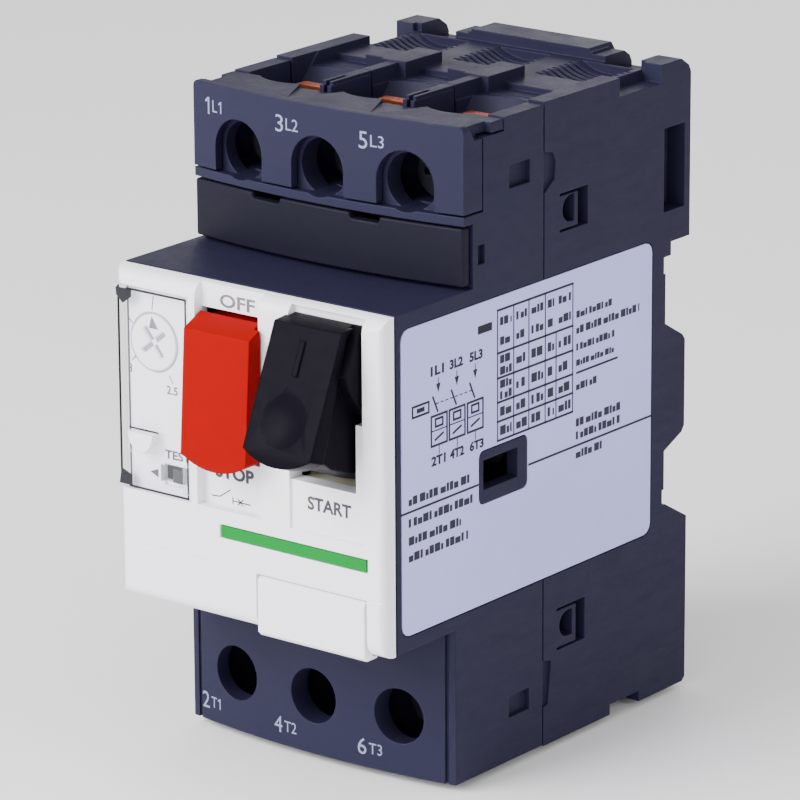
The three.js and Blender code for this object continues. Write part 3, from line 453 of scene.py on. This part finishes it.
def print_marks(name, sheet, place, material, body="case"):
    """Places a sheet's marks with place(u, v, rise) in millimetres and lets them ride on a body."""
    for vert in sheet.bm.verts:
        u, v, share = vert.co
        vert.co = Vector(place(u, v, share * INK_THICKNESS - SUNK)) * MM
    bmesh.ops.remove_doubles(sheet.bm, verts=sheet.bm.verts, dist=SAME_POINT)
    bmesh.ops.recalc_face_normals(sheet.bm, faces=sheet.bm.faces)
    mesh = bpy.data.meshes.new(name)
    sheet.bm.to_mesh(mesh)
    sheet.bm.free()
    mesh.materials.append(material)
    piece = bpy.data.objects.new(name, mesh)
    bpy.context.scene.collection.objects.link(piece)
    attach(piece, body)
    return piece


def on_front(face_y):
    return lambda u, v, rise: (u, face_y - rise, v)


def on_right_side(u, v, rise):
    return (HALF_WIDTH + rise, u, v)


def on_crown(face_y):
    return lambda u, v, rise: (u, face_y - CROWN * (1 - (u / HALF_WIDTH) ** 2) - rise, v)


# how far forward each printed face lies
COVER_FACE = -62.0
COVER_RECESS = -60.5
START_FIELD = -61.6
WINDOW_FLOOR = -60.8
UPPER_FACE = -44.9
LOWER_FACE = -46.8

# pole number, terminal name, and the left and lower end of the number
UPPER_TERMINALS = (("1", "L1", -20.5, 40.3), ("3", "L2", -7.0, 40.1), ("5", "L3", 6.9, 39.9))
LOWER_TERMINALS = (("2", "T1", -20.8, -42.6), ("4", "T2", -6.9, -42.6), ("6", "T3", 7.4, -42.6))


def terminal_marks():
    """Terminal numbers: a large digit, then a smaller letter and digit."""
    upper = Sheet()
    for pole_mark, rest, u, v in UPPER_TERMINALS:
        if pole_mark == "1":
            upper.one(u + 0.3, v, 2.3)
            upper.text(rest[0], u + 1.8, v + 0.4, u + 2.7, v + 2.0)
            upper.one(u + 2.9, v + 0.4, 1.6)
        else:
            upper.text(pole_mark, u, v, u + 1.35, v + 2.3)
            upper.text(rest, u + 1.8, v + 0.4, u + 3.9, v + 2.0)
    print_marks("upper_terminal_marks", upper, on_crown(UPPER_FACE), PALE_INK)
    lower = Sheet()
    for pole_mark, rest, u, v in LOWER_TERMINALS:
        lower.text(pole_mark, u, v, u + 1.4, v + 2.3)
        if rest == "T1":
            lower.text("T", u + 1.8, v + 0.3, u + 2.9, v + 1.85)
            lower.one(u + 3.0, v + 0.3, 1.55)
        else:
            lower.text(rest, u + 1.8, v + 0.3, u + 3.9, v + 1.85)
    print_marks("lower_terminal_marks", lower, on_crown(LOWER_FACE), PALE_INK)


def cover_marks():
    """Generic words and symbols beside the buttons."""
    off = Sheet()
    off.text("OFF", -5.3, 19.7, 0.6, 21.5, 0.02)
    print_marks("off_mark", off, on_front(COVER_RECESS), GREY_INK)
    below = Sheet()
    below.text("STOP", -6.5, -3.6, 0.05, -1.7, 0.04)
    symbols(below)
    print_marks("stop_marks", below, on_front(COVER_RECESS), DARK_GREY_INK)
    start = Sheet()
    start.text("START", 9.9, -4.6, 17.1, -2.75, 0.03)
    print_marks("start_marks", start, on_front(START_FIELD), DARK_GREY_INK)


def symbols(sheet):
    """An open contact, and a breaker's cross on its line."""
    width = 0.16
    sheet.line((-7.2, -6.3), (-5.75, -6.2), width)
    sheet.line((-5.8, -6.2), (-4.0, -5.0), width)
    sheet.line((-3.6, -5.9), (-3.6, -6.85), width)
    sheet.line((-3.6, -6.4), (-0.6, -6.45), width)
    for rise in (0.45, -0.45):
        sheet.line((-2.75, -6.4 + rise), (-1.85, -6.4 - rise), width)


DIAL_CENTRE = Vector((-16.4, 13.0))
DIAL_FACE = -61.0
CROSS_TURN = 38.0                 # degrees of the screwdriver cross from upright
CROSS_DEPTH = 0.3
CROSS_ARM = 2.45
CROSS_HALF_WIDTH = 0.4


def dial_marks():
    """Ticks, numbers, a test arrow and the word over the test slot, under the flap."""
    scale = Sheet()
    tick = 0.14
    scale.line((-16.7, 17.4), (-16.4, 19.3), tick)
    scale.line((-20.9, 15.7), (-20.1, 15.0), tick)
    scale.line((-20.3, 9.9), (-19.6, 10.6), tick)
    scale.line((-13.9, 8.9), (-13.3, 7.9), tick)
    scale.text("3", -21.0, 8.2, -20.3, 9.4)
    scale.text("2.5", -14.4, 6.3, -12.5, 7.5, 0.02)
    scale.text("TEST", -14.9, -2.6, -10.5, -1.35, 0.03)
    scale.polygon([(-17.5, -4.9), (-16.1, -5.55), (-16.1, -4.35)])
    print_marks("dial_scale", scale, on_front(WINDOW_FLOOR), DARK_GREY_INK)
    pointer = Sheet()
    pointer.polygon([(-16.6, 16.6), (-17.1, 14.9), (-15.5, 14.9)])
    print_marks("dial_pointer", pointer, on_front(DIAL_FACE), GREY_INK, body="dial")
    cross = Sheet()
    for quarter in range(4):
        angle = math.radians(CROSS_TURN) + quarter * math.pi / 2
        along = Vector((math.cos(angle), math.sin(angle)))
        start, end = DIAL_CENTRE + along * CROSS_HALF_WIDTH, DIAL_CENTRE + along * CROSS_ARM
        cross.line(start, end, 2 * CROSS_HALF_WIDTH)
    print_marks("dial_cross", cross, on_front(DIAL_FACE + CROSS_DEPTH), CROSS_SHADE, body="dial")


RULE = 0.3                        # width of the label's lines

TABLE_COLUMNS = (-37.7, -34.2, -30.9, -27.3, -24.9, -21.2)
TABLE_ROWS = (18.7, 12.9, 9.5, 6.2, 3.6, 1.0)
SPLIT_COLUMN = 4                  # this column line stops below the head row


def table_rules(sheet):
    """The lines of the table: a tall head row and four rows, in five columns."""
    columns, rows = TABLE_COLUMNS, TABLE_ROWS
    for z in rows:
        sheet.rect(columns[0] - RULE / 2, z - RULE / 2, columns[-1] + RULE / 2, z + RULE / 2)
    for i, y in enumerate(columns):
        top = rows[1] if i == SPLIT_COLUMN else rows[0]
        sheet.rect(y - RULE / 3, rows[-1], y + RULE / 3, top)


def table_words(sheet):
    """One or two lines of blocks in each cell."""
    for column, (left, right) in enumerate(zip(TABLE_COLUMNS, TABLE_COLUMNS[1:])):
        for row, (high, low) in enumerate(zip(TABLE_ROWS, TABLE_ROWS[1:])):
            two_lines = row == 0 or (column == 0 and row in (1, 2))
            height = 1.15 if two_lines else 1.3
            for share in (0.27, 0.73) if two_lines else (0.5,):
                z = low + (high - low) * share - height / 2
                sheet.word_blocks(left + 0.55, right - 0.45, z, height, 3 * row + column + int(10 * share))


def connection_diagram(sheet):
    """Three poles drawn from the upper to the lower terminal numbers."""
    for words, y in (("1L1", -51.9), ("3L2", -47.9), ("5L3", -43.7)):
        sheet.text(words, y, 13.1, y + 2.8, 14.4, 0.04)
    for y in (-50.3, -46.4, -42.5):
        sheet.polygon([(y - 0.45, 11.9), (y, 10.7), (y + 0.45, 11.9)])
        sheet.rect(y - 0.07, 11.9, y + 0.07, 12.7)
        sheet.line((y - 1.2, 10.4), (y - 0.1, 8.1), RULE)
    for i in range(8):
        y = -50.8 + i * 1.0
        sheet.rect(y, 9.2, y + 0.6, 9.35)
    sheet.box(-55.7, 8.5, -52.3, 9.9, RULE)
    sheet.rect(-54.8, 8.9, -53.2, 9.5)
    for y in (-51.8, -48.0, -44.15):
        sheet.box(y, 3.7, y + 3.3, 7.7, RULE)
        sheet.rect(y, 5.62, y + 3.3, 5.78)
        sheet.line((y + 0.7, 4.4), (y + 2.6, 5.1), RULE)
        sheet.box(y + 0.9, 6.2, y + 2.4, 7.2, RULE)
        sheet.rect(y + 1.58, 2.4, y + 1.72, 3.6)
    for words, y in (("2T1", -51.8), ("4T2", -47.9), ("6T3", -43.7)):
        sheet.text(words, y, 1.0, y + 3.0, 2.3, 0.04)


# where each line of words ends, its foot and its height
RIGHT_LINES = (
    (-12.4, 13.75, 1.0), (-6.1, 11.55, 1.1), (-11.8, 9.25, 1.0), (-11.9, 7.1, 0.9),
    (-15.5, 3.75, 1.05), (-10.1, -1.3, 1.15), (-10.1, -3.1, 1.15), (-14.5, -5.75, 1.15),
)
LEFT_LINES = ((-43.4, -3.1), (-42.9, -6.0), (-45.6, -8.45), (-44.1, -10.7))


def label_words(sheet):
    """Every line of words on the label, as unreadable blocks."""
    for row, (end, z, height) in enumerate(RIGHT_LINES):
        sheet.word_blocks(-20.4, end, z, height, row + 2)
    for row, (end, z) in enumerate(LEFT_LINES):
        sheet.word_blocks(-56.6, end, z, 1.2, row + 3)
    table_words(sheet)


def label_print():
    """Rules, symbols and terminal numbers in black, words in a softer ink."""
    sheet = Sheet()
    table_rules(sheet)
    connection_diagram(sheet)
    sheet.line((-20.4, 6.15), (-11.0, 6.15), RULE)
    sheet.rect(-41.9, 16.4, -38.9, 17.5)
    sheet.line((-31.0, -3.95), (-3.2, -3.95), RULE)
    sheet.line((-58.3, -3.93), (-41.8, -3.93), RULE)
    print_marks("label_print", sheet, on_right_side, INK)
    words = Sheet()
    label_words(words)
    print_marks("label_words", words, on_right_side, SOFT_INK)


terminal_marks()
cover_marks()
dial_marks()
label_print()


# ---------------------------------------------------------------- the lip in the joint of the housings

def seam_lips():
    """A dark lip behind each side of the joint, so that no light passes between the two housings."""
    seam_front, seam_rear = -27.84, -27.46
    inset, depth = 1.5, 0.5
    for name, side in (("left_seam_lip", -1), ("right_seam_lip", 1)):
        lip = Sheet()
        lip.rect(-43.5, seam_front, 43.2, seam_rear)
        middle = side * (HALF_WIDTH - inset)
        print_marks(name, lip, lambda z, y, rise: (middle + rise / INK_THICKNESS * depth, y, z), NYLON)


seam_lips()


# ---------------------------------------------------------------- painted shade on the clear flap

def window_details():
    """Painted shade on the clear flap: dark plates for the dark look of its hinge corners, and a dark
    outline for the shadow in the gap around it.
    """
    low, high = (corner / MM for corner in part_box("setting_window"))
    hinge_shade = Sheet()
    # painted shade: dark plates for the dark look of the clear hinge corners
    hinge_shade.polygon([(-21.9, high.z - 0.2), (-21.8, high.z - 1.3), (-20.7, high.z - 2.3),
                     (-19.2, high.z - 1.2), (-19.2, high.z - 0.2)])
    hinge_shade.polygon([(-21.9, low.z + 0.2), (-19.6, low.z + 0.2), (-19.6, low.z + 1.7),
                     (-21.5, low.z + 2.4)])
    print_marks("flap_hinge_painted_shade", hinge_shade, on_front(COVER_FACE), FLAP_SHADE_PAINT, body="window")
    # painted shadow: a dark outline along the top, right and bottom of the flap, for the shadow in the gap
    # around it
    rim = Sheet()
    wide = 0.3
    hinge_part = 2.4
    right = high.x - wide
    left = low.x + hinge_part
    rim.rect(left, high.z - wide, right, high.z)
    rim.rect(right, low.z, right + wide, high.z)
    rim.rect(left, low.z, right, low.z + wide)
    # painted shadow under the top edge of the slot above the seal lug
    rim.rect(-20.0, 0.95, -14.9, 1.2)
    print_marks("flap_outline_painted_shadow", rim, on_front(COVER_FACE), FLAP_SHADE_PAINT, body="window")
    # painted shade: a dark strip along the flap's left edge, for the shadow in the gap there
    left_edge_shade = Sheet()
    end_gap, inset = 0.3, 0.12
    left_edge_shade.rect(low.z + end_gap, -61.15, high.z - end_gap, -60.75)
    print_marks("flap_left_painted_shade", left_edge_shade, lambda z, y, rise: (low.x + inset + rise, y, z), FLAP_SHADE_PAINT,
                body="window")


window_details()


# ---------------------------------------------------------------- camera, light and floor

def aim(obj, target):
    direction = Vector(target) - obj.location
    obj.rotation_mode = "QUATERNION"
    obj.rotation_quaternion = direction.to_track_quat("-Z", "Y")


def set_camera():
    azimuth = math.radians(38.19)
    elevation = math.radians(16.84)
    distance = 712.6 * MM
    target = Vector((-3.66, -25.0, -1.23)) * MM
    back = Vector((math.sin(azimuth) * math.cos(elevation), -math.cos(azimuth) * math.cos(elevation),
                   math.sin(elevation)))
    camera = bpy.data.objects.new("camera", bpy.data.cameras.new("camera"))
    camera.data.lens = 236.7
    camera.data.sensor_width = 36.0
    camera.data.clip_start = 0.01
    bpy.context.scene.collection.objects.link(camera)
    camera.location = target + back * distance
    aim(camera, target)
    roll = Matrix.Rotation(math.radians(-0.336), 4, "Z").to_quaternion()
    camera.rotation_quaternion = camera.rotation_quaternion @ roll
    bpy.context.scene.camera = camera


def area_light(name, place, target, size, power, colour=(1.0, 1.0, 1.0)):
    light = bpy.data.lights.new(name, "AREA")
    light.shape = "RECTANGLE"
    light.size, light.size_y = size
    light.energy = power
    light.color = colour
    obj = bpy.data.objects.new(name, light)
    bpy.context.scene.collection.objects.link(obj)
    obj.location = place
    aim(obj, target)


def studio():
    middle = (cad_low + cad_high) / 2
    area_light("key", (-0.28, -0.62, 0.42), middle, (0.5, 0.5), 12.5)
    area_light("front_fill", (0.25, -0.85, 0.10), middle, (0.6, 0.5), 4.2)
    area_light("side_fill", (0.75, -0.05, 0.25), middle, (0.5, 0.6), 2.6)
    area_light("top", (0.05, 0.05, 0.75), middle, (0.6, 0.6), 0.8)
    area_light("rear", (-0.3, 0.7, 0.35), middle, (0.5, 0.5), 1.4)
    world = bpy.data.worlds.new("studio")
    world.use_nodes = True
    background = world.node_tree.nodes["Background"]
    background.inputs["Color"].default_value = (1.0, 1.0, 1.0, 1.0)
    background.inputs["Strength"].default_value = 0.68
    bpy.context.scene.world = world


def studio_floor():
    half = 2.5
    gap = 0.15 * MM
    height = cad_low.z - gap
    cells = 8
    bm = bmesh.new()
    bmesh.ops.create_grid(bm, x_segments=cells, y_segments=cells, size=half)
    bmesh.ops.translate(bm, verts=bm.verts, vec=(0, 0, height))
    mesh = bpy.data.meshes.new("floor")
    bm.to_mesh(mesh)
    bm.free()
    mesh.materials.append(floor_paint("pale_floor", (0.93, 0.93, 0.94, 1.0)))
    floor = bpy.data.objects.new("floor", mesh)
    bpy.context.scene.collection.objects.link(floor)


set_camera()
studio()
studio_floor()
